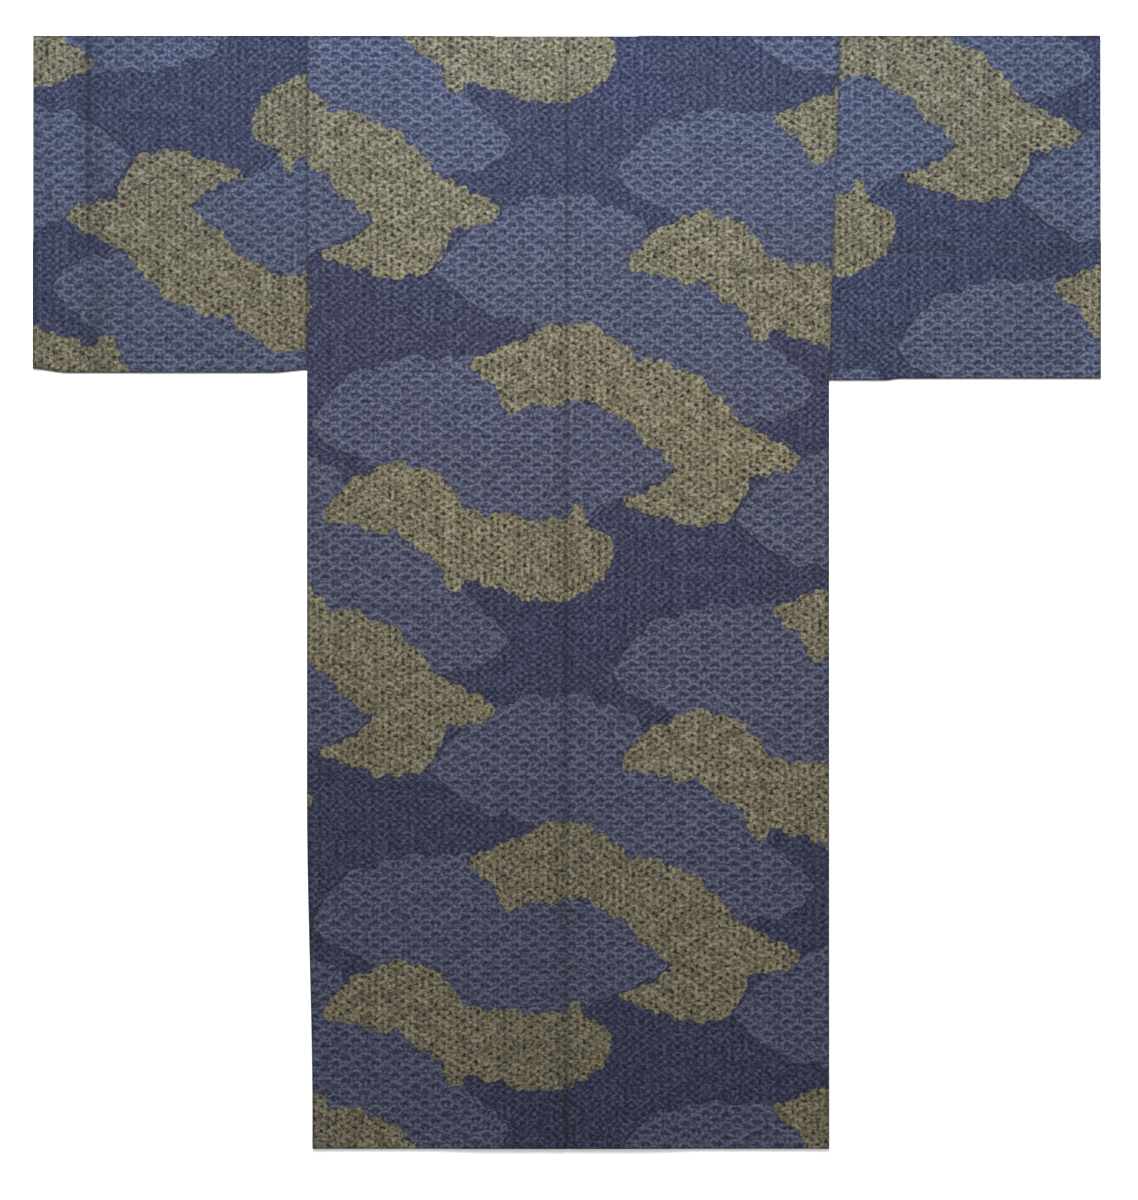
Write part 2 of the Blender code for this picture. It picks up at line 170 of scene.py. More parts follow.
# Painted shade and painted light on the shown back: darker lines where shade falls along seams, which also have a
# little darker dye, and along pressed creases and storage folds; paler lines where light falls beside some folds; and
# broad darker and paler bands. Ends and half width in millimetres, and how much darker, below 0 for paler.
PAINTED_LIGHT_AND_SHADE_LINES = (
    # x0, y0, x1, y1, half_width, darker
    (0, 700, 0, -700, 3, 0.42),
    (-7, 300, -7, -700, 7, 0.17),
    (-603, 700, -603, 440, 2.8, 0.50),
    (-597, 700, -592, 272, 11.5, 0.24),
    (-584, 560, -583, 272, 3.6, 0.20),
    (-632, 700, -630, 272, 14, -0.12),
    (657, 700, 657, 266, 14, -0.14),
    (641, 700, 642, 266, 3, 0.14),
    (350, 434, 640, 430, 4.5, 0.12),
    (-325, -18, 328, -24, 5, 0.12),
    (-325, -10, 328, -16, 5, -0.08),
    (-325, -240, 328, -242, 5, 0.10),
    (-325, -232, 328, -234, 5, -0.06),
    (-275, 660, -275, -600, 55, 0.09),
    (-40, -250, -30, -700, 70, 0.08),
    (200, 100, 200, -700, 100, -0.06),
)
TONE_UNEVEN = (0.2, 14.0, 50.0)
TONE_END = 0.01
# Painted shade along seams and along the folded edges of the outline: how dark and how wide.
SEAM_PAINTED_SHADE = 0.40
SEAM_TONE_WIDTH = 0.0030
EDGE_PAINTED_SHADE = 0.55
EDGE_TONE_WIDTH = 0.0022
ARMHOLE_TONE_REACH = 0.008

# Seams and turnings of the shown cloth.
GROOVE_DEPTH = 0.0007
GROOVE_HALF_WIDTH = 0.0045
GROOVE_START = 0.02
TURNING_WIDTH = 0.012
TURNING_RISE = 0.0004
TURNING_SOFT = 0.006
ALLOWANCE_WIDTH = 0.013
ALLOWANCE_RISE = 0.0004
ALLOWANCE_CLEAR = 0.004
NECK_ROLL = 0.0009
NECK_ROLL_REACH = 0.004
STITCH_PITCH = 0.007
STITCH_LENGTH = 0.0024
STITCH_RADIUS = 0.00028
STITCH_SIDES = 6
STITCH_FORM = (
    # share of its length, share of its radius, how far it has sunk into the cloth, in radii
    (-0.5, 0.35, 1.0),
    (-0.28, 1.0, 0.0),
    (0.28, 1.0, 0.0),
    (0.5, 0.35, 1.0),
)
STITCH_INSET = 0.002
STITCH_CLEAR = 0.006
HEM_WAVER = (0.04, 90)
CUFF_WAVER = (0.05, 70)
CUFF_STITCH_START = 0.012


def ease(t):
    """0 to 1 with a soft start and end, held outside that range."""
    t = np.clip(t, 0.0, 1.0)
    return t * t * (3 - 2 * t)


def bell(offset):
    return np.exp(-(offset**2))


def covers(outside):
    """1 over a lower piece and a little past its edge, falling to 0. outside is the distance past that edge."""
    return 1 - ease((outside - CLIMB_CLEAR) / CLIMB_FALL)


# Each side of the robe, -1 at -X, and whose side it is on the wearer.
SIDES = {-1: "left", 1: "right"}


def sleeve_drop(side):
    return LEFT_SLEEVE_DROP if side < 0 else RIGHT_SLEEVE_DROP


def side_edge(side, y):
    """Distance from the centre seam to the side of the body at height y. side is -1 on the left, 1 on the right."""
    if side < 0:
        taper = ease((LEFT_TAPER_TOP_Y - y) / (LEFT_TAPER_TOP_Y - LEFT_TAPER_END_Y))
        return LEFT_HALF + (LEFT_HALF_AT_HEM - LEFT_HALF) * taper
    armhole_y = SHOULDER_Y - RIGHT_SLEEVE_DROP
    rise = np.clip((y - armhole_y) / (SHOULDER_Y - armhole_y), 0.0, 1.0)
    return RIGHT_HALF + (RIGHT_HALF_AT_SHOULDER - RIGHT_HALF) * rise


def bottom_rise(side, across):
    """How far a sleeve's lower edge lies above its lowest point, at a distance from the centre."""
    from_armhole = across - side_edge(side, SHOULDER_Y - sleeve_drop(side))
    if side > 0:
        return RIGHT_STEP_RISE * ease((from_armhole - RIGHT_STEP_START) / RIGHT_STEP_REACH)
    from_cuff = WINGSPAN / 2 - across
    corner = LEFT_CORNER_RISE * (1 - ease(from_cuff / LEFT_RISE_REACH))
    return corner + LEFT_ARMHOLE_RISE * (1 - ease(from_armhole / LEFT_RISE_REACH))


def collar_seam(depth):
    """Distance of the collar's seam from the centre, towards its own side, at a depth below the shoulder."""
    share = np.clip(depth / COLLAR_END, 0.0, 1.0)
    return NECK_HALF - (NECK_HALF + OVERLAP) * share**COLLAR_CURVE


def front_reach(depth):
    """How far a front with its collar reaches past the centre line at a depth below the shoulder."""
    below_collar = ease((depth - COLLAR_END) / CLIMB_FALL)
    return (COLLAR_WIDTH - collar_seam(depth)) * (1 - below_collar) + OVERLAP * below_collar


def collar_band(across, depth):
    """1 on a front's collar and close by. across is the distance from the centre line towards that front's side."""
    seam = collar_seam(depth)
    return covers(across - seam) * covers(seam - COLLAR_WIDTH - across) * covers(depth - COLLAR_END)


def under_right_front(x, y):
    """The height of the top of the left front's pieces, with clearance, which the right front climbs over."""
    depth = SHOULDER_Y - y
    crossing = ease((depth - CROSSING_START_DEPTH) / (CROSSING_FULL_DEPTH - CROSSING_START_DEPTH))
    on_left_collar = collar_band(-x, depth)
    return crossing * covers(x - front_reach(depth)) * (LAYER + (COLLAR_LAYER - LAYER) * on_left_collar)


def under_back(x, y):
    """The height of the top of everything that the back lies on, with clearance."""
    depth = SHOULDER_Y - y
    lower = under_right_front(x, y) * covers(-x - front_reach(depth))
    right_collar = (lower + COLLAR_LAYER) * collar_band(x, depth)
    left_collar = COLLAR_LAYER * collar_band(-x, depth)
    neck_band = COLLAR_LAYER * covers(depth - COLLAR_WIDTH) * covers(np.abs(x) - NECK_HALF)
    return np.maximum.reduce([lower + LAYER, right_collar, left_collar, neck_band])


def swell(x, y):
    """How far the top cloth stands above what it lies on, from the broad swells."""
    height = np.zeros(np.broadcast(x, y).shape)
    for centre_x, centre_y, along, across, turn, top in SWELLS:
        angle = np.radians(turn)
        run = (x - centre_x) * np.cos(angle) + (y - centre_y) * np.sin(angle)
        off = (y - centre_y) * np.cos(angle) - (x - centre_x) * np.sin(angle)
        height = height + top * bell(run / along) * bell(off / across)
    return height * ease(np.minimum(SHOULDER_Y - y, y - HEM_Y) / SWELL_FADE)


def along_line(x, y, x0, y0, x1, y1):
    """A line's length, how far along it each point is, from 0 to 1, and how far off it, in metres."""
    length = np.hypot(x1 - x0, y1 - y0)
    run = ((x - x0) * (x1 - x0) + (y - y0) * (y1 - y0)) / length**2
    return length, run, ((y - y0) * (x1 - x0) - (x - x0) * (y1 - y0)) / length


def unevenness(run, start, strength, along, shift):
    """1 at most, and less by up to twice the strength, in waves along a line, shifted by where it starts."""
    return 1 - strength + strength * np.sin(along * run + shift * start)


def creases(x, y):
    """The creases, each a soft trough or ridge that fades at both ends."""
    height = np.zeros(np.broadcast(x, y).shape)
    for *ends, bow, half_width, top in np.array(CREASES) / 1000:
        _, run, off = along_line(x, y, *ends)
        off = off - bow * (np.sin(np.pi * run) + CREASE_WAVER * np.sin(CREASE_WAVER_TURNS * np.pi * run))
        fade = ease(run / CREASE_ENDS) * ease((1 - run) / CREASE_ENDS)
        height = height + top * fade * unevenness(run, ends[0], *CREASE_UNEVEN) * bell(off / half_width)
    return height


def painted_light_and_shade(x, y):
    """The painted shade of the shown cloth along its seams, creases and folds and in broad bands, painted light where
    below 0.
    """
    darker = np.zeros(np.broadcast(x, y).shape)
    for *line, amount in PAINTED_LIGHT_AND_SHADE_LINES:
        *ends, half_width = np.array(line) / 1000
        length, run, off = along_line(x, y, *ends)
        past = np.maximum(np.maximum(-run, run - 1), 0) * length
        amount = amount * unevenness(run, ends[0], *TONE_UNEVEN)
        darker = darker + amount * bell(off / half_width) * bell(past / TONE_END)
    return darker


def seam_painted_shade(distance):
    """Painted shade close to a seam, with a little of the seam's own darker dye."""
    return SEAM_PAINTED_SHADE * bell(distance / SEAM_TONE_WIDTH)


def edge_painted_shade(*distances):
    """Painted shade on the folded edges of the outline."""
    nearest = np.minimum.reduce(np.broadcast_arrays(*distances))
    return EDGE_PAINTED_SHADE * bell(nearest / EDGE_TONE_WIDTH)


def top_level(x, y):
    """Middle of the wall of the cloth on top, before its creases and seams."""
    return under_back(x, y) + CLOTH / 2 + swell(x, y)


def bottom_level(side, x, y):
    """Middle of the wall of a front: on the surface on the left, and over the left front's pieces on the right."""
    lift = under_right_front(x, y) if side > 0 else 0.0 * x
    return lift + CLOTH / 2


def groove(distance):
    """The dip of the cloth into a seam at this distance from it."""
    return -GROOVE_DEPTH * bell(distance / GROOVE_HALF_WIDTH)


def band(distance, width):
    """1 on a turning or seam allowance of this width from the edge inwards, with a soft inner end."""
    return 1 - ease((distance - width + TURNING_SOFT / 2) / TURNING_SOFT)


# The print's clouds. Each cloud is one or more strokes along a line of points with half widths, in millimetres from
# the middle of the back, and the whole repeats in a half drop.
REPEAT_ACROSS = np.array((0.3837, 0.3145))
REPEAT_ALONG = np.array((0.0, -0.6264))
CLOUDS = (
    # ground, (x, y, half width) along each stroke
    (
        "tan",
        ((-114, 287, 9), (-84, 282, 25), (-46, 278, 40), (7, 288, 49), (49, 277, 38), (68, 258, 27)),
        ((-64, 252, 23), (-69, 231, 8)),
        ((64, 257, 33), (105, 247, 44), (152, 212, 52), (181, 172, 42), (175, 128, 44), (118, 114, 19), (80, 113, 7)),
        ((193, 179, 43), (238, 172, 26), (268, 167, 19), (283, 167, 10)),
    ),
    (
        "tan",
        ((-295, 98, 11), (-270, 108, 25), (-237, 114, 38), (-200, 117, 43), (-169, 101, 38)),
        ((-180, 93, 35), (-132, 65, 38), (-78, 50, 45), (-24, 39, 50), (19, 45, 42), (44, 55, 18)),
        ((-132, 38, 25), (-141, 13, 12)),
        ((9, 72, 22), (16, 104, 6)),
    ),
    (
        "blue",
        ((-162, 405, 10), (-139, 408, 30), (-97, 410, 58), (-27, 415, 81), (23, 408, 83), (82, 373, 79),
         (144, 330, 70), (204, 283, 61), (253, 259, 44), (283, 255, 28), (300, 256, 11)),
    ),
    (
        "blue",
        ((-310, 212, 10), (-285, 213, 35), (-247, 221, 57), (-195, 222, 70), (-141, 211, 84), (-84, 181, 90),
         (-27, 168, 84), (29, 169, 66), (80, 166, 43), (111, 158, 23), (125, 158, 10)),
    ),
)
SCALLOPS = {
    # ground: radius, pitch, how far they stand out
    "tan": (0.0145, 0.0250, 0.0068),
    "blue": (0.0200, 0.0350, 0.0090),
}
SCALLOP_UNEVEN = (1.00, 0.78, 1.14, 0.90, 1.22, 0.74, 1.08, 0.86, 1.16, 0.82)
SCALLOP_STARTS = {1: 0.3, -1: 0.7}
SCALLOP_ON_THIN = (0.005, 0.40)
CURVE_STEPS = 12
CLOUD_MARGIN = 0.004
NO_CLOUD = -0.05
REPEATS = range(-9, 10)


def smooth_stroke(rows):
    """Close-set points and half widths along a stroke, in metres, on a smooth curve through its rows."""
    rows = np.array(rows, float) / 1000
    ends = np.vstack([2 * rows[0] - rows[1], rows, 2 * rows[-1] - rows[-2]])
    parts = []
    for k in range(len(rows) - 1):
        p0, p1, p2, p3 = ends[k : k + 4]
        t = np.linspace(0, 1, CURVE_STEPS + 1)[:-1, None]
        bend = (2 * p0 - 5 * p1 + 4 * p2 - p3) * t**2 + (3 * p1 - p0 - 3 * p2 + p3) * t**3
        parts.append(p1 + 0.5 * ((p2 - p0) * t + bend))
    return np.vstack(parts + [rows[-1:]])


def run_along(points):
    """How far along a line each of its points is."""
    return np.concatenate([[0], np.cumsum(np.linalg.norm(np.diff(points, axis=0), axis=1))])


def scallop_circles(stroke, ground):
    """Circles along both sides of a stroke and round its ends, which give a cloud its scalloped edge."""
    radius, pitch, proud = SCALLOPS[ground]
    tangent = np.gradient(stroke[:, :2], axis=0)
    tangent = tangent / np.linalg.norm(tangent, axis=1)[:, None]
    normal = np.column_stack([-tangent[:, 1], tangent[:, 0]])
    circles = []
    for sign, start in SCALLOP_STARTS.items():
        run = run_along(stroke[:, :2] + sign * normal * stroke[:, 2:])
        place = start * pitch
        for uneven in itertools.cycle(SCALLOP_UNEVEN):
            if place >= run[-1]:
                break
            columns = np.column_stack([stroke, sign * normal]).T
            x, y, half_width, out_x, out_y = (np.interp(place, run, column) for column in columns)
            size = min(radius * uneven, SCALLOP_ON_THIN[0] + SCALLOP_ON_THIN[1] * half_width)
            reach = max(half_width - size + proud * size / radius, 0.0)
            circles.append((x + out_x * reach, y + out_y * reach, size))
            place += pitch * uneven
    for end in (stroke[0], stroke[-1]):
        circles.append((end[0], end[1], end[2] + proud / 2))
    return circles


def cloud_circles():
    """For each cloud of one repeat, its ground and the circles whose union it is."""
    clouds = []
    for ground, *strokes in CLOUDS:
        circles = []
        for rows in strokes:
            stroke = smooth_stroke(rows)
            stroke[:, 2] -= SCALLOPS[ground][2] / 2
            circles.extend(map(tuple, stroke))
            circles.extend(scallop_circles(stroke, ground))
        clouds.append((ground, np.array(circles)))
    return clouds


CLOUD_CIRCLES = cloud_circles()


def cloud_fields(prints):
    """How deep each point of the print lies inside a tan and inside a blue cloud, in metres, below 0 outside."""
    fields = {ground: np.full(len(prints), NO_CLOUD) for ground in SCALLOPS}
    for ground, circles in CLOUD_CIRCLES:
        middles, radii = circles[:, :2], circles[:, 2]
        low = (middles.T - radii).min(axis=1) - CLOUD_MARGIN
        high = (middles.T + radii).max(axis=1) + CLOUD_MARGIN
        for across, along in itertools.product(REPEATS, REPEATS):
            moved = prints - (across * REPEAT_ACROSS + along * REPEAT_ALONG)
            near = ((moved > low) & (moved < high)).all(axis=1)
            if near.any():
                away = np.linalg.norm(moved[near][:, None] - middles, axis=2)
                fields[ground][near] = np.maximum(fields[ground][near], (radii - away).max(axis=1))
    return fields


# How the cloth of each piece was laid on the print: a shift after a turn, so that print = turn * place + shift.
PRINT_LAY = {
    # piece: turn, shift across, shift along
    "body": (1, 0.0, 0.0),
    "left_sleeve": (-1, -0.3350, 0.6385),
    "right_sleeve": (1, -0.3523, -0.4080),
    "left_okumi": (1, 0.21, 0.17),
    "right_okumi": (-1, 0.08, -0.12),
    "collar": (1, 0.05, 0.33),
}

# Where the body's print drifts from its even repeat: a place, how far round it, and the shift there.
PRINT_DRIFTS = (
    # x, y, reach across, reach along, shift across, shift along
    (0.090, -0.320, 0.130, 0.300, -0.0105, 0.0),
    (0.020, -0.660, 0.130, 0.160, 0.0, 0.0145),
    (-0.120, 0.440, 0.100, 0.110, 0.0090, 0.0),
    (0.270, 0.620, 0.080, 0.070, 0.0, -0.0080),
)

# Painted light: how much cooler and brighter the colour is painted than in the robe's lower part, standing in for the
# light at the top: on the sleeves, and on all other pieces from a height up over a length. The left sleeve is darker
# than the right one.
COOL_SLEEVE = 1.0
COOL_SHOULDER = 0.6
COOL_FROM_Y = 0.30
COOL_OVER = 0.35
LEFT_SLEEVE_DARKER = 0.14
# A painted haze of light also makes the whole robe greyer towards its shoulders, from a height up over a length.
SHOULDER_COOL_FROM_Y = 0.15
SHOULDER_COOL_OVER = 0.60


def print_place(lay, x, y):
    """Where a point of the unfolded piece is on the printed cloth."""
    turn, across, along = PRINT_LAY[lay]
    u, v = turn * x + across, turn * y + along
    if lay == "body":
        for drift_x, drift_y, reach_across, reach_along, shift_across, shift_along in PRINT_DRIFTS:
            near = bell((x - drift_x) / reach_across) * bell((y - drift_y) / reach_along)
            u, v = u - shift_across * near, v - shift_along * near
    return u, v


def mesh_of(name, points, faces):
    mesh = bpy.data.meshes.new(name)
    mesh.from_pydata(points, [], faces)
    return mesh


def placed(name, data):
    """An object of this data in the scene."""
    thing = bpy.data.objects.new(name, data)
    bpy.context.scene.collection.objects.link(thing)
    return thing


class Cloth:
    """A sheet of cloth, gathered from patches of points on a grid, which join where their points meet."""

    def __init__(self, name, lay):
        self.name = name
        self.lay = lay
        self.points = []
        self.faces = []
        self.count = 0

    def patch(self, x, y, z, unfolded_x, unfolded_y, painted_shade, flip):
        """Adds a grid of points, where each lies on the unfolded piece, and the painted shade of the cloth there."""
        u, v = print_place(self.lay, unfolded_x, unfolded_y)
        grid = np.stack(np.broadcast_arrays(x, y, z, u, v, painted_shade), axis=-1)
        rows, columns, _ = grid.shape
        corner = self.count + (np.arange(rows - 1)[:, None] * columns + np.arange(columns - 1)).reshape(-1)
        quads = np.column_stack([corner, corner + 1, corner + columns + 1, corner + columns])
        self.faces.append(quads[:, ::-1] if flip else quads)
        self.points.append(grid.reshape(rows * columns, -1))
        self.count += rows * columns

    def finish(self):
        """Makes the object: joins the patches, gives the cloth its thickness and stores on it the print and the
        painted light and shade.
        """
        x, height, z, u, v, painted_shade = np.vstack(self.points).T
        fields = cloud_fields(np.column_stack([u, v]))
        # Painted light, cooler and brighter, on the sleeves and towards the shoulders.
        painted_cool_light = COOL_SLEEVE if "sleeve" in self.lay else COOL_SHOULDER * ease((height - COOL_FROM_Y) / COOL_OVER)
        mesh = mesh_of(self.name, np.column_stack([x, height, z]).tolist(), np.vstack(self.faces).tolist())
        # Stored with the print: the painted shade along seams, edges, creases and folds, painted light where it is
        # below 0, and the painted cooler light and greyer haze towards the shoulders.
        for name, values in (
            ("tan_depth", fields["tan"]),
            ("blue_depth", fields["blue"]),
            ("painted_shade", painted_shade),
            ("painted_cool_light", painted_cool_light + 0 * height),
            ("shoulder", ease((height - SHOULDER_COOL_FROM_Y) / SHOULDER_COOL_OVER)),
        ):
            mesh.attributes.new(name, "FLOAT", "POINT").data.foreach_set("value", values.astype(np.float32))
        bolt = np.column_stack([u, v, 0 * u]).astype(np.float32)
        mesh.attributes.new("bolt", "FLOAT_VECTOR", "POINT").data.foreach_set("vector", bolt.reshape(-1))
        piece = placed(self.name, mesh)
        weld = piece.modifiers.new("joined patches", "WELD")
        weld.merge_threshold = WELD_REACH
        solid = piece.modifiers.new("thickness", "SOLIDIFY")
        solid.thickness = SHELL
        solid.offset = 0.0
        solid.use_quality_normals = True
        solid.material_offset = 1
        mesh.materials.append(PRINTED)
        mesh.materials.append(INSIDE)
        settle(piece)
        return piece


def settle(piece):
    """Applies the piece's modifiers and shades it smooth but for its sharp rims."""
    graph = bpy.context.evaluated_depsgraph_get()
    result = bpy.data.meshes.new_from_object(
        piece.evaluated_get(graph), preserve_all_data_layers=True, depsgraph=graph
    )
    piece.modifiers.clear()
    old = piece.data
    piece.data = result
    bpy.data.meshes.remove(old)
    result.shade_smooth()
    result.set_sharp_from_angle(angle=np.radians(SHARP_ANGLE))


def spaced(start, end):
    """Values from start up to end, about STEP apart."""
    return np.linspace(start, end, max(2, int(round((end - start) / STEP)) + 1))


def graded(start, end, fine_start=False, fine_end=False):
    """Values from start up to end, about STEP apart, and closer together at the ends that are to be fine."""
    first = start + (FINE_REACH if fine_start else 0)
    last = end - (FINE_REACH if fine_end else 0)
    parts = [spaced(first, last)]
    if fine_start:
        parts.insert(0, start + np.array(FINE_STEPS))
    if fine_end:
        parts.append(end - np.array(FINE_STEPS)[::-1])
    return np.concatenate(parts)


def back_relief(side, x, y):
    """What the shown back adds to its solid's form: creases, seams, turnings and the ridge of the seam allowance."""
    across = np.abs(x)
    edge = side_edge(side, y)
    height = creases(x, y) * ease((edge - across) / CLEAR_OF_SIDE) * ease(across / CLEAR_OF_CENTRE)
    beside_sleeve = ease((y - SHOULDER_Y + sleeve_drop(side)) / GROOVE_START)
    height = height + groove(across) + groove(edge - across) * beside_sleeve
    height = height + TURNING_RISE * band(y - HEM_Y, TURNING_WIDTH)
    for from_seam in (across, edge - across)[side > 0 :]:
        height = height + ALLOWANCE_RISE * band(from_seam, ALLOWANCE_WIDTH) * ease(from_seam / ALLOWANCE_CLEAR)
    return height


def sleeve_relief(side, x, y):
    """The same for the shown half of a sleeve."""
    from_armhole = np.abs(x) - side_edge(side, y)
    from_cuff = WINGSPAN / 2 - np.abs(x)
    height = creases(x, y) * ease(from_armhole / CLEAR_OF_ARMHOLE) * ease(from_cuff / CLEAR_OF_CUFF)
    height = height + groove(from_armhole)
    height = height + TURNING_RISE * band(from_cuff, TURNING_WIDTH)
    return height + ALLOWANCE_RISE * band(y - SHOULDER_Y + sleeve_drop(side), ALLOWANCE_WIDTH)


def front_relief(x, y):
    """Low creases of the hidden fronts, which mirror some of the back's."""
    return HIDDEN_CREASES * np.abs(creases(-x, y)) + HIDDEN_LIFT


def front_inner_edge(depth):
    """Distance of a front panel's inner edge from the centre: along the collar, and then along the okumi."""
    return np.maximum(collar_seam(depth) + SEAM_GAP, OKUMI_SEAM + SEAM_GAP / 2)


def half_turn(steps):
    """A fold of the cloth: how far each of its points is across from one side to the other, and how far out of it."""
    angle = np.linspace(0, np.pi, steps + 1)
    return (1 - np.cos(angle)) / 2, np.sin(angle)


def shoulder_fold(cloth, side, last, x_back, x_front, back_z, front_z):
    """The fold over the shoulder, from the back's last row to the front's."""
    swing, out = (share[:, None] for share in half_turn(FOLD_STEPS))
    top, low = back_z(x_back, last), front_z(x_front, last)
    x = x_back + (x_front - x_back) * swing
    y = last + (SHOULDER_Y - SHELL / 2 - last) * out
    fold_y = SHOULDER_Y + FOLD_CLOTH * (swing - 0.5)
    # The whole fold carries the painted shade of a folded edge.
    cloth.patch(x, y, top + (low - top) * swing, x, fold_y, EDGE_PAINTED_SHADE, side < 0)


def side_turn(cloth, side, x_edge, y, back_rise, front_rise, back_z, front_z):
    """The turn of the cloth along a sewn side, from the back to the front, which rise from y by their own amounts."""
    swing, out = half_turn(TURN_STEPS)
    top, low = back_z(x_edge, y), front_z(x_edge, y)
    x = x_edge + side * (SEAM_TURN - SHELL / 2) * out
    rise = back_rise + (front_rise - back_rise) * swing
    # The whole turn carries the painted shade of a folded edge.
    cloth.patch(x, y + rise, top + (low - top) * swing, x, y, EDGE_PAINTED_SHADE, side < 0)


def body_strip(side):
    """The shell of one side of the body, from the back hem over the shoulder to the front hem."""
    cloth = Cloth(SIDES[side] + "_body_cloth", "body")
    armhole_y = SHOULDER_Y - sleeve_drop(side)
    rows = np.concatenate([graded(HEM_Y, armhole_y, fine_start=True), spaced(armhole_y, LAST_ROW_Y)[1:]])
    y = rows[:, None]
    neck = graded(SHOWN_GAP / 2, NECK_HALF, fine_start=True)
    width = LEFT_HALF - NECK_HALF
    share = graded(0.0, width, fine_end=True) / width
    turn = SEAM_TURN + (SHOWN_GAP / 2 - SEAM_TURN) * ease((y - armhole_y) / STEP)
    edge = side_edge(side, y)
    outer = NECK_HALF + share * (edge - turn - NECK_HALF)
    inner_edge = front_inner_edge(SHOULDER_Y - y)
    front = inner_edge + share * (edge - turn - inner_edge)
    above = ease((y - armhole_y + ARMHOLE_TONE_REACH / 2) / ARMHOLE_TONE_REACH)

    def back_z(x, y):
        return top_level(x, y) + back_relief(side, x, y)

    def front_z(x, y):
        return bottom_level(side, x, y) + front_relief(x, y)

    # Painted shade of the back: lines along its seams, creases and folds, along the side seam above the armhole and
    # the folded side edge below it, and along the hem and the shoulder fold.
    def back_painted_shade(across, x):
        at_side = seam_painted_shade(edge - across) * above + edge_painted_shade(edge - across) * (1 - above)
        return painted_light_and_shade(x, y) + at_side + edge_painted_shade(y - HEM_Y, SHOULDER_Y - y)

    x = side * neck
    roll = NECK_ROLL * np.exp(-(SHOULDER_Y - y) / NECK_ROLL_REACH)
    cloth.patch(x, y, back_z(x, y) - roll, x, y, back_painted_shade(neck, x), side < 0)
    x = side * outer
    cloth.patch(x, y, back_z(x, y), x, y, back_painted_shade(outer, x), side < 0)
    x_front = side * front
    rise = FRONT_HEM_RISE * (1 - ease((y - HEM_Y) / RISE_REACH))
    # Painted shade of the front along its seam to the okumi or collar and along its folded edges.
    painted_shade = seam_painted_shade(front - inner_edge) + edge_painted_shade(edge - front, y - HEM_Y, SHOULDER_Y - y)
    cloth.patch(x_front, y + rise, front_z(x_front, y), x_front, 2 * SHOULDER_Y - y, painted_shade, side > 0)

    shoulder_fold(cloth, side, rows[-1], x[-1:], x_front[-1:], back_z, front_z)
    below = y[: np.count_nonzero(rows <= armhole_y + TINY)]
    x_edge = side * (side_edge(side, below) - SEAM_TURN)
    side_turn(cloth, side, x_edge, below, 0.0, rise[: len(below)], back_z, front_z)
    return cloth.finish()


def sleeve(side):
    """The shell of one sleeve, folded at the shoulder and closed along the bottom and the lower part of the cuff."""
    name = SIDES[side] + "_sleeve"
    cloth = Cloth(name + "_cloth", name)
    bottom = SHOULDER_Y - sleeve_drop(side)
    opening = SHOULDER_Y - HAND_OPENING
    lower_rows = graded(bottom + SEAM_TURN, opening, fine_start=True)
    rows = np.concatenate([lower_rows, spaced(opening, LAST_ROW_Y)[1:]])
    y = rows[:, None]
    cuff = WINGSPAN / 2 - SHELL / 2
    width = cuff - LEFT_HALF
    share = graded(0.0, width, fine_start=True, fine_end=True) / width
    inner = side_edge(side, y) + SHOWN_GAP / 2
    x = side * (inner + share * (cuff - SEAM_TURN - inner))
    lift = bottom_rise(side, np.abs(x)) * (1 - ease((y - bottom) / RISE_REACH))

    def back_z(x, y):
        return top_level(x, y) + sleeve_relief(side, x, y)

    def front_z(x, y):
        return CLOTH / 2 + front_relief(x, y)

    from_armhole = np.abs(x) - side_edge(side, y)
    from_cuff = WINGSPAN / 2 - np.abs(x)
    # Painted shade along the cuff, the folded edges and the armhole seam, with the creases' painted light and shade on
    # the shown half; the left sleeve is also darker all over.
    painted_shade = edge_painted_shade(from_cuff, y - bottom, SHOULDER_Y - y) + seam_painted_shade(from_armhole)
    painted_shade = painted_shade + (LEFT_SLEEVE_DARKER if side < 0 else 0.0)
    cloth.patch(x, y + lift, back_z(x, y), x, y, painted_shade + painted_light_and_shade(x, y), side < 0)
    cloth.patch(x, y + lift, front_z(x, y), x, 2 * SHOULDER_Y - y, painted_shade, side > 0)
    shoulder_fold(cloth, side, rows[-1], x[-1:], x[-1:], back_z, front_z)

    # The turn along the bottom seam, and along the sewn lower part of the cuff, both with the painted shade of a
    # folded edge.
    swing, out = (share[:, None] for share in half_turn(TURN_STEPS))
    x_row = x[:1]
    top, low = back_z(x_row, rows[0]), front_z(x_row, rows[0])
    y_turn = rows[0] + lift[:1] - (SEAM_TURN - SHELL / 2) * out
    cloth.patch(x_row, y_turn, top + (low - top) * swing, x_row, bottom, EDGE_PAINTED_SHADE, side > 0)
    closed = y[: np.count_nonzero(rows <= opening + TINY)]
    cuff_lift = lift[: len(closed), -1:]
    side_turn(cloth, side, side * (cuff - SEAM_TURN), closed, cuff_lift, cuff_lift, back_z, front_z)
    return cloth.finish()


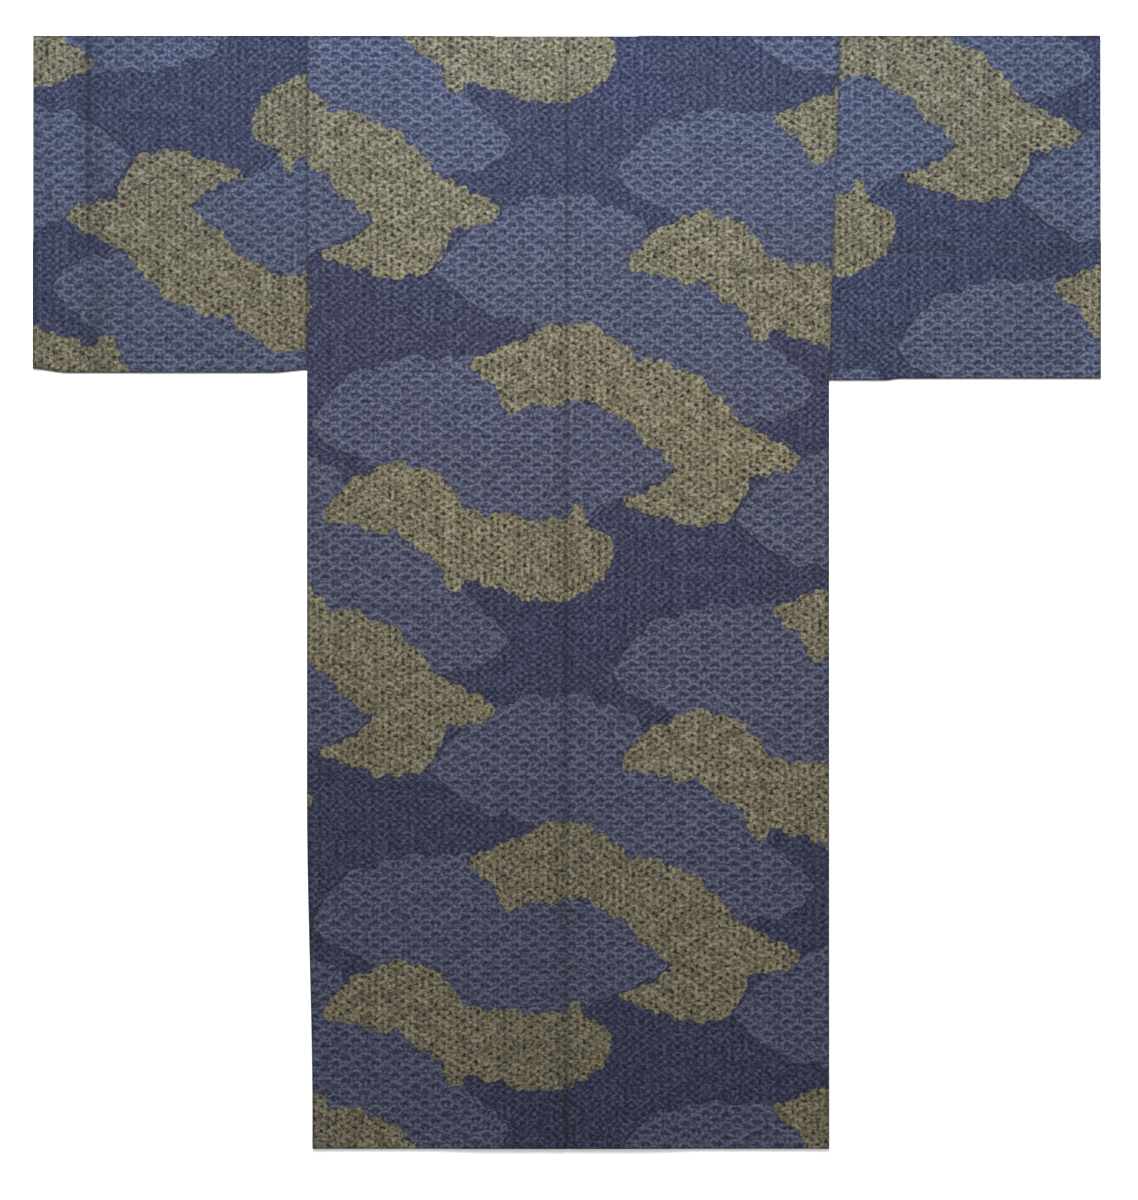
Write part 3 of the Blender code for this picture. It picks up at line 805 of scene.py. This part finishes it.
def okumi(side):
    """The shell of an overlap panel, from its pointed top beside the collar down to the hem."""
    name = SIDES[side] + "_okumi"
    cloth = Cloth(name + "_cloth", name)
    seam = OKUMI_SEAM - 1.5 * SEAM_GAP - OKUMI_TIP
    top_depth = COLLAR_END * ((NECK_HALF - seam) / (NECK_HALF + OVERLAP)) ** (1 / COLLAR_CURVE)
    rows = spaced(top_depth, COLLAR_END), spaced(COLLAR_END, LENGTH - FRONT_HEM_RISE)[1:]
    depth = np.concatenate(rows)[:, None]
    share = np.linspace(0, 1, OKUMI_COLUMNS)
    inner = collar_seam(depth) + SEAM_GAP
    outer = OKUMI_SEAM - SEAM_GAP / 2
    across = inner + share * (outer - inner)
    x = side * across
    y = SHOULDER_Y - depth
    z = bottom_level(side, x, y) + front_relief(x, y)
    # Painted shade along its seam to the body, its inner edge and the hem.
    painted_shade = seam_painted_shade(outer - across) + edge_painted_shade(across - inner, y - HEM_Y)
    cloth.patch(x, y, z, x, y, painted_shade, side < 0)
    return cloth.finish()


def collar_lines():
    """Places on the collar's seam and on its folded edge, from the middle of the neck to the collar's end."""
    turn = NECK_HALF - COLLAR_WIDTH
    neck = np.linspace(0.0, 1.0, NECK_ROWS)[:, None]
    depth = spaced(0.0, COLLAR_END)[1:, None]
    seam = np.hstack([collar_seam(depth), depth])
    slope = (seam[:, :1] - collar_seam(depth - SLOPE_STEP)) / SLOPE_STEP
    square = seam + COLLAR_WIDTH * np.hstack([0 * slope - 1, slope]) / np.hypot(1.0, slope)
    corner = np.hstack([turn + 0 * depth, COLLAR_WIDTH + CLOTH + depth * COLLAR_TURN_SPREAD])
    free = corner + (square - corner) * ease(depth / (2 * COLLAR_WIDTH))
    seam_at_neck = neck * (NECK_HALF, 0) + (0, CLOTH)
    free_at_neck = neck * (turn, 0) + (0, CLOTH + COLLAR_WIDTH)
    return np.vstack([seam_at_neck, seam]), np.vstack([free_at_neck, free])


def collar():
    """The shell of the collar: one long strip folded along its free edge, round the neck and down both fronts."""
    cloth = Cloth("collar_cloth", "collar")
    seam, free = (np.vstack([line[:0:-1], line]) for line in collar_lines())
    side = np.where(np.arange(len(seam)) < len(seam) // 2, -1.0, 1.0)[:, None]
    turn = (COLLAR_CLOTH - 2 * SHELL) / 2
    flat = np.linspace(0, 1, COLLAR_COLUMNS)
    swing = np.linspace(0, np.pi, TURN_STEPS + 1)[1:-1]
    width = COLLAR_WIDTH - turn - SHELL / 2
    shares = np.concatenate([flat, 1 + turn * np.sin(swing) / width, flat[::-1]]) * width / COLLAR_WIDTH
    heights = np.concatenate([np.ones(COLLAR_COLUMNS), np.cos(swing), -np.ones(COLLAR_COLUMNS)]) * turn
    along = run_along(side * seam)[:, None]
    x = side * (seam[:, :1] + shares * (free[:, :1] - seam[:, :1]))
    y = SHOULDER_Y - (seam[:, 1:] + shares * (free[:, 1:] - seam[:, 1:]))
    lift = np.where(side > 0, under_right_front(x, y), 0.0)
    across = run_along(np.column_stack([shares * COLLAR_WIDTH, heights]))
    # Painted shade, half as strong, along the collar's folded edge.
    painted_shade = 0.5 * edge_painted_shade(np.abs(across - across[-1] / 2))
    cloth.patch(x, y, lift + COLLAR_CLOTH / 2 + heights, across, along, painted_shade, False)
    return cloth.finish()


def arithmetic(operation):
    return lambda value, *others: value.nodes.math(operation, value, *others)


class Value:
    """A number or colour that a material's nodes give out, with the usual arithmetic."""

    __add__ = arithmetic("ADD")
    __sub__ = arithmetic("SUBTRACT")
    __mul__ = arithmetic("MULTIPLY")
    __abs__ = arithmetic("ABSOLUTE")

    def __init__(self, nodes, socket):
        self.nodes = nodes
        self.socket = socket


class Nodes:
    """Short ways to add and link the nodes of one material."""

    def __init__(self, name):
        self.material = bpy.data.materials.new(name)
        self.material.use_nodes = True
        self.tree = self.material.node_tree

    def fill(self, sockets, values):
        """Links a Value to a socket, or sets what the socket holds."""
        for key, value in values.items():
            if isinstance(value, Value):
                self.tree.links.new(value.socket, sockets[key])
            else:
                sockets[key].default_value = (*value, 1.0) if sockets[key].type == "RGBA" else value

    def shade(self, values):
        self.fill(self.tree.nodes["Principled BSDF"].inputs, values)

    def make(self, kind, values, output=0, **settings):
        """What a new node gives out, from its settings and its inputs by name or number."""
        node = self.tree.nodes.new("ShaderNode" + kind)
        for name, setting in settings.items():
            setattr(node, name, setting)
        self.fill(node.inputs, values)
        return Value(self, node.outputs[output])

    def math(self, operation, *values, clamp=False):
        return self.make("Math", dict(enumerate(values)), operation=operation, use_clamp=clamp)

    def length(self, x, y):
        """The distance of a point from the origin."""
        return self.math("SQRT", x * x + y * y)

    def pick(self, choice, first, second):
        """The first number where choice is 0, the second where it is 1."""
        return choice * (second - first) + first

    def step(self, value, start, end):
        """0 at start, 1 at end, with soft ends."""
        ends = {"Value": value, "From Min": start, "From Max": end}
        return self.make("MapRange", ends, interpolation_type="SMOOTHSTEP")

    def within(self, value, start, full, fading, end, strength):
        """The strength from full to fading, and 0 before start and past end."""
        return self.step(value, start, full) * self.step(value, end, fading) * strength

    def mix(self, share, first, second, blend="MIX"):
        parts = {"Factor": share, "A": first, "B": second}
        return self.make("Mix", parts, "Result", data_type="RGBA", blend_type=blend)

    def attribute(self, name, output="Fac"):
        return self.make("Attribute", {}, output, attribute_name=name)

    def noise(self, place, scale, detail=2.0, roughness=0.5):
        """A noise of this scale at a vector, or at two numbers on the cloth, each with a scale of its own."""
        if isinstance(place, tuple):
            place = self.make("CombineXYZ", {"X": place[0] * scale[0], "Y": place[1] * scale[1]})
            scale = 1.0
        return self.make("TexNoise", {"Vector": place, "Scale": scale, "Detail": detail, "Roughness": roughness})

    def wave(self, value, period, phase=0.0):
        """A sine from -1 to 1 along a length in metres."""
        return self.math("SINE", value * (2 * np.pi / period) + phase)

    def bump(self, height, distance, **normal):
        return self.make("Bump", {"Strength": 1.0, "Distance": distance, "Height": height, **normal})


# Colours of the dyed cotton, linear. Each ground has the dark, the middle tone and the light of its filling, and how
# strongly the filling shows.
DYES = {
    # ground: dark, middle, light, strength
    "navy": ((0.0004, 0.0010, 0.0110), (0.0136, 0.0151, 0.0340), (0.0440, 0.0465, 0.0760), 0.96),
    "blue": ((0.0040, 0.0055, 0.0200), (0.0236, 0.0265, 0.0485), (0.0680, 0.0730, 0.1040), 0.84),
    "tan": ((0.0040, 0.0030, 0.0010), (0.0700, 0.0600, 0.0385), (0.1750, 0.1590, 0.1110), 0.69),
}
TAN_YELLOW = (1.07, 1.04, 0.66)
TAN_GREY = (0.98, 0.94, 1.06)
BLUE_WARM = (1.09, 1.03, 0.90)
BLUE_COLD = (0.93, 0.96, 1.06)
HUE_SCALE = 260.0
WARM_FROM = (0.50, 0.62)
COLD_FROM = (0.47, 0.36)
GOLD = (0.0960, 0.0900, 0.0480)
PAINTED_COOL_LIGHT = (1.02, 1.10, 1.10)
PAINTED_SHOULDER_HAZE = (0.83, 0.91, 1.02)
OUTLINE = (0.0054, 0.0062, 0.0116)
WRONG_SIDE = (0.14, 0.145, 0.17)
FADE_SHARE = 0.28
FADE_DULLER = 0.4
THREAD_COLOURS = ((0.03, 0.034, 0.065), (0.10, 0.11, 0.16))
SHEEN_TINT = (0.75, 0.78, 0.9)

# The clouds' edges, as depths inside a cloud: how ragged they are, where its ground starts, and the lines along them,
# each with where it starts, is full, begins to fade and ends, and how strong it is.
RAGGED_SCALE = 105.0
RAGGED = {"tan": 0.0150, "blue": 0.0090}
TAN_EDGE = (-0.0010, 0.0009)
BLUE_EDGE = (-0.0004, 0.0004)
BLUE_RIM = (0.0, 0.0008, 0.0022, 0.0032, 0.35)
BLUE_RIM_PITCH = 0.0050
BLUE_RIM_DOTS = (-0.5, 0.4)
BLUE_LINE = (-0.0030, -0.0016, -0.0006, 0.0002, 0.45)
TAN_LINE = (-0.0034, -0.0020, -0.0004, 0.0004, 0.18)
GILT = (0.0004, 0.0010, 0.0020, 0.0028, 0.6)
GILT_SCALE = 90.0
GILT_FROM = (0.46, 0.60)

# Repeats of the fillings across and along the cloth. Wave scales are given by their width and the pitch of their rows.
NAVY_REPEAT = (0.01110, 0.01010)
BLUE_REPEAT = (0.02530, 0.00737)
TAN_REPEAT = (0.01715, 0.01095)
# How light, or below 0 how dark, the parts of each filling are.
NAVY_COLUMNS = -0.16
NAVY_DOTS = -0.38
NAVY_ZIGZAG = 0.23
BLUE_RINGS = 0.68
BLUE_RING_PITCH = 0.80
BLUE_GAPS = -0.42
BLUE_GAP_FROM = (0.88, 0.97)
TAN_NET = 0.36
TAN_NET_FROM = (0.0017, 0.0008)
TAN_SHELL = -0.04
TAN_HEART = 1.05
TAN_HEART_UNEVEN = 0.60
TAN_HEART_SIZE = 0.0017
TAN_HEART_PETALS = 0.0008
TAN_HEART_SOFT = 0.0006
TAN_SPECKS = 2.2
TAN_SPECK_SCALE = 240.0
TAN_WANDER = 0.0085
TAN_WANDER_SCALE = 80.0
QUARTER = np.pi / 2

# Unevenness of the dye and the threads: the scale of each noise and how strong it is.
GRAIN = 4.6
GRAIN_SCALES = (240.0, 290.0)
MOTTLE = 1.1
MOTTLE_TAN = 0.7
MOTTLE_SCALE = 58.0
WEAVE_PITCH = 0.0009
WARP_SCALES = (1400.0, 60.0)
WEFT_SCALES = (60.0, 1400.0)
THREAD_TONE = 0.35
THREAD_RISE = 0.6
WEAVE_DEPTH = 0.00010
CLOUDY_SCALE = 9.0
CLOUDY_TONE = 0.30
CRUMPLE_SCALE = 26.0
CRUMPLE_DEPTH = 0.0016


def fill_navy(n, u, v):
    """Rows of dark and light dots in turn, under a zigzag of slanting strokes."""
    across, along = NAVY_REPEAT
    columns = n.wave(u, across, QUARTER)
    dots = columns * n.wave(v, along, QUARTER)
    zigzag = n.wave(n.math("PINGPONG", u, across) * (along / across) + v, along)
    return columns * NAVY_COLUMNS + dots * NAVY_DOTS + zigzag * NAVY_ZIGZAG


def fill_blue(n, u, v):
    """Overlapping wave scales: rings round the foot of each scale, in rows half a scale apart that cover the next."""
    across, along = BLUE_REPEAT
    radius = across / 2
    row = n.math("DIVIDE", v, along)
    above = n.math("FRACT", row) * along
    shifted = abs(n.math("MODULO", n.math("FLOOR", row), 2.0)) * radius + u
    own = n.math("WRAP", shifted, radius, -radius)
    other = n.math("WRAP", shifted + radius, radius, -radius)
    front = n.length(other, above + along)
    middle = n.length(own, above)
    back = n.length(other, above - along)
    in_front = n.math("LESS_THAN", front, radius)
    in_middle = n.math("LESS_THAN", middle, radius)
    from_foot = n.pick(in_front, n.pick(in_middle, back, middle), front)
    rings = n.wave(from_foot, BLUE_RING_PITCH * radius, QUARTER)
    gaps = n.step(from_foot, *(share * radius for share in BLUE_GAP_FROM))
    return rings * BLUE_RINGS + gaps * BLUE_GAPS


def fill_tan(n, u, v, bolt):
    """A small tortoise-shell net in pale lines, speckled, with a dark heart in each shell, every second one deeper."""
    across, along = TAN_REPEAT
    high = across / np.sqrt(3)

    def from_centre_of_cell(u, v):
        return n.math("WRAP", u, across / 2, -across / 2), n.math("WRAP", v, high / 2, -high / 2)

    wander = (n.noise(bolt, TAN_WANDER_SCALE) - 0.5) * TAN_WANDER
    u = u + wander
    v = (v - wander) * (high / along)
    first = from_centre_of_cell(u, v)
    second = from_centre_of_cell(u + across / 2, v + high / 2)
    is_first = n.math("LESS_THAN", n.length(*first), n.length(*second))
    x, y = (n.pick(is_first, second[k], first[k]) for k in (0, 1))
    slant = abs(x) * np.cos(np.pi / 6) + abs(y) * np.sin(np.pi / 6)
    net = n.step(n.math("MAXIMUM", abs(y), slant), *(high / 2 - inside for inside in TAN_NET_FROM))
    deeper = n.wave(u, 2 * across, 0.7) * n.wave(v, 2 * high, 0.4)
    angle = n.math("WRAP", n.math("ARCTAN2", x, y), np.pi / 3, -np.pi / 3)
    petal = n.math("COSINE", angle * 3.0) * TAN_HEART_PETALS + TAN_HEART_SIZE
    heart = n.step(n.length(x, y) - petal, TAN_HEART_SOFT, -TAN_HEART_SOFT) * (deeper * TAN_HEART_UNEVEN + TAN_HEART)
    specks = (n.noise(bolt, TAN_SPECK_SCALE, 1.0) - 0.5) * TAN_SPECKS
    return net * TAN_NET + TAN_SHELL + specks - heart


def toned(n, value, ground):
    """The colour of a ground, from dark to light as value runs from below 0 to above it."""
    dark, middle, light, strength = DYES[ground]
    low = n.math("MULTIPLY", value, -strength, clamp=True)
    high = n.math("MULTIPLY", value, strength, clamp=True)
    return n.mix(high, n.mix(low, middle, dark), light)


def printed_cotton(name, fade):
    """The cloth's face. fade is how far the colours are washed towards grey, as on the wrong side."""
    n = Nodes(name)
    bolt = n.attribute("bolt", "Vector")
    u, v = (n.make("SeparateXYZ", {"Vector": bolt}, axis) for axis in "XY")
    ragged = n.noise(bolt, RAGGED_SCALE) - 0.5
    tan_depth = ragged * RAGGED["tan"] + n.attribute("tan_depth")
    blue_depth = ragged * RAGGED["blue"] + n.attribute("blue_depth")

    mottle = n.noise(bolt, MOTTLE_SCALE, 1.0) - 0.5
    uneven = (n.noise((u, v), GRAIN_SCALES, 1.5) - 0.5) * GRAIN + mottle * MOTTLE
    navy = toned(n, fill_navy(n, u, v) + uneven, "navy")
    blue = toned(n, fill_blue(n, u, v) + uneven, "blue")
    tan = toned(n, fill_tan(n, u, v, bolt) + (uneven + mottle * MOTTLE_TAN), "tan")

    hue = n.noise(bolt, HUE_SCALE)
    warm, cold = n.step(hue, *WARM_FROM), n.step(hue, *COLD_FROM)
    tan = n.mix(cold, n.mix(warm, tan, TAN_YELLOW, "MULTIPLY"), TAN_GREY, "MULTIPLY")
    blue = n.mix(cold, n.mix(warm, blue, BLUE_WARM, "MULTIPLY"), BLUE_COLD, "MULTIPLY")

    # Light dots follow the inside of a blue cloud's edge and gold the inside of a tan one's, in places. A thin dark
    # line runs round both.
    dots = n.wave(u, BLUE_RIM_PITCH) * n.wave(v, BLUE_RIM_PITCH, 0.8)
    rim = n.within(blue_depth, *BLUE_RIM) * n.step(dots, *BLUE_RIM_DOTS)
    blue = n.mix(rim, blue, DYES["blue"][2])
    gilt = n.within(tan_depth, *GILT) * n.step(n.noise(bolt, GILT_SCALE), *GILT_FROM)
    tan = n.mix(gilt, tan, GOLD)
    navy = n.mix(n.within(blue_depth, *BLUE_LINE), navy, OUTLINE)
    colour = n.mix(n.step(blue_depth, *BLUE_EDGE), navy, blue)
    # Painted light: cooler and brighter colour on the sleeves and the upper pieces, standing in for the light at the
    # top.
    colour = n.mix(n.attribute("painted_cool_light"), colour, PAINTED_COOL_LIGHT, "MULTIPLY")
    colour = n.mix(n.within(tan_depth, *TAN_LINE), colour, OUTLINE)
    colour = n.mix(n.step(tan_depth, *TAN_EDGE), colour, tan)
    # Painted haze of light: greyer towards the shoulders.
    colour = n.mix(n.attribute("shoulder"), colour, PAINTED_SHOULDER_HAZE, "MULTIPLY")

    # Threads, uneven dye, and the painted shade of seams, edges, creases and folds, paler where light is painted
    # beside some folds.
    threads = n.noise((u, v), WARP_SCALES, 1.0) + n.noise((u, v), WEFT_SCALES, 1.0)
    cloudy = n.noise(bolt, CLOUDY_SCALE, 3.0)
    value = (threads * THREAD_TONE + cloudy * CLOUDY_TONE + 0.5) * n.math("SUBTRACT", 1.0, n.attribute("painted_shade"))
    tint = {"Saturation": 1.0 - FADE_DULLER * fade, "Value": value, "Color": colour}
    colour = n.mix(FADE_SHARE * fade, n.make("HueSaturation", tint), WRONG_SIDE)

    crumple = n.bump(n.noise(bolt, CRUMPLE_SCALE, 3.0, 0.55), CRUMPLE_DEPTH)
    weave = n.wave(u, WEAVE_PITCH) * n.wave(v, WEAVE_PITCH) + threads * THREAD_RISE
    n.shade({
        "Base Color": colour,
        "Roughness": cloudy * 0.16 + 0.76,
        "Specular IOR Level": 0.18,
        "Sheen Weight": 0.09,
        "Sheen Roughness": 0.5,
        "Sheen Tint": SHEEN_TINT,
        "Normal": n.bump(weave, WEAVE_DEPTH, Normal=crumple),
    })
    return n.material


def thread_cotton():
    """Sewing thread, twisted, in navy."""
    n = Nodes("sewing thread")
    twist = n.noise(n.make("TexCoord", {}, "Object"), 900.0)
    n.shade({"Base Color": n.mix(twist, *THREAD_COLOURS), "Roughness": 0.7, "Normal": n.bump(twist, 0.0001)})
    return n.material


def stitches(name, places):
    """Short stitches at places: x, y, z, and the direction in which each runs, joined in one mesh."""
    form = []
    for share, radius, sunk in STITCH_FORM:
        for turn in np.arange(STITCH_SIDES) * 2 * np.pi / STITCH_SIDES:
            up = STITCH_RADIUS * (radius * np.sin(turn) - sunk)
            form.append((share * STITCH_LENGTH, STITCH_RADIUS * radius * np.cos(turn), up))
    last = len(form) - STITCH_SIDES
    rims = [range(STITCH_SIDES)[::-1], range(last, len(form))]
    for a in range(last):
        b = a + 1 if (a + 1) % STITCH_SIDES else a + 1 - STITCH_SIDES
        rims.append((a, b, b + STITCH_SIDES, a + STITCH_SIDES))
    points, faces = [], []
    for *place, angle in places:
        across, up = (-np.sin(angle), np.cos(angle), 0.0), (0.0, 0.0, 1.0)
        faces.extend([k + len(points) for k in rim] for rim in rims)
        points.extend((np.array(form) @ ((np.cos(angle), np.sin(angle), 0.0), across, up) + place).tolist())
    mesh = mesh_of(name, points, faces)
    mesh.materials.append(THREAD)
    mesh.shade_smooth()
    return placed(name, mesh)


def seam_stitches():
    """The stitches of the back hem and of both cuffs, just inside the turnings."""
    places = []
    hem_y = HEM_Y + TURNING_WIDTH - STITCH_INSET
    for side in SIDES:
        across = np.arange(STITCH_CLEAR, side_edge(side, hem_y) - STITCH_CLEAR, STITCH_PITCH)
        z = top_level(side * across, hem_y) + back_relief(side, side * across, hem_y) + SHELL / 2
        places.extend(zip(side * across, hem_y + 0 * across, z, HEM_WAVER[0] * np.sin(HEM_WAVER[1] * across)))
        x = side * (WINGSPAN / 2 - TURNING_WIDTH + STITCH_INSET)
        y = np.arange(SHOULDER_Y - sleeve_drop(side) + CUFF_STITCH_START, SHOULDER_Y - STITCH_CLEAR, STITCH_PITCH)
        z = top_level(x, y) + sleeve_relief(side, x, y) + SHELL / 2
        places.extend(zip(x + 0 * y, y, z, np.pi / 2 + CUFF_WAVER[0] * np.sin(CUFF_WAVER[1] * y)))
    return stitches("hem_stitches", places)


LIGHTS = (
    # name, place, aim, size, power, colour
    ("shoulder light", (-0.12, 1.6, 1.2), (0.0, 0.25, 0.0), 1.6, 118.0, (0.96, 0.98, 1.0)),
    ("fill light", (0.6, -0.9, 2.6), (0.0, -0.2, 0.0), 2.4, 8.0, (0.97, 0.98, 1.0)),
)
ROOM_COLOUR = (0.97, 0.98, 1.0)
ROOM_STRENGTH = 0.68
FLOOR_COLOUR = (0.93, 0.93, 0.93)
FLOOR_ROUGHNESS = 0.9
FLOOR_REACH = 40.0
FLOOR_BELOW = 0.0002
CAMERA_PLACE = (0.0028, -0.0101, 4.193)
CAMERA_LENS = 100.0
CAMERA_SENSOR = 36.0


def studio():
    """A pale floor, soft light that is stronger at the shoulders, and the camera straight above the back."""
    corners = [(x * FLOOR_REACH, y * FLOOR_REACH, 0) for x, y in ((-1, -1), (1, -1), (1, 1), (-1, 1))]
    mesh = mesh_of("floor", corners, [(0, 1, 2, 3)])
    floor = placed("floor", mesh)
    floor.location.z = -FLOOR_BELOW
    paper = Nodes("pale floor")
    paper.shade({"Base Color": FLOOR_COLOUR, "Roughness": FLOOR_ROUGHNESS})
    mesh.materials.append(paper.material)

    for name, place, aim, size, power, colour in LIGHTS:
        data = bpy.data.lights.new(name, "AREA")
        data.shape, data.size, data.energy, data.color = "SQUARE", size, power, colour
        lamp = placed(name, data)
        lamp.location = place
        x, y, z = np.subtract(aim, place)
        lamp.rotation_euler = (np.arctan2(np.hypot(x, y), -z), 0.0, np.arctan2(-x, y))
    world = bpy.data.worlds.new("soft room")
    world.use_nodes = True
    room = world.node_tree.nodes["Background"].inputs
    room["Color"].default_value = (*ROOM_COLOUR, 1.0)
    room["Strength"].default_value = ROOM_STRENGTH
    bpy.context.scene.world = world
    bpy.context.scene.view_settings.view_transform = "Standard"

    data = bpy.data.cameras.new("camera")
    data.lens = CAMERA_LENS
    data.sensor_width = CAMERA_SENSOR
    camera = placed("camera", data)
    camera.location = CAMERA_PLACE
    bpy.context.scene.camera = camera


PRINTED = printed_cotton("printed cotton", 0.0)
INSIDE = printed_cotton("printed cotton, wrong side", 1.0)
THREAD = thread_cotton()

for wearer_side, wearer in SIDES.items():
    strip = body_strip(wearer_side)
    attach(strip, "root")
    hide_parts(wearer + "_body")
    arm = sleeve(wearer_side)
    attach(arm, "root")
    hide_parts(wearer + "_sleeve")
    panel = okumi(wearer_side)
    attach(panel, "root")
    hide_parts(wearer + "_okumi")
band_piece = collar()
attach(band_piece, "root")
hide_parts("collar")
thread = seam_stitches()
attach(thread, "root")
studio()
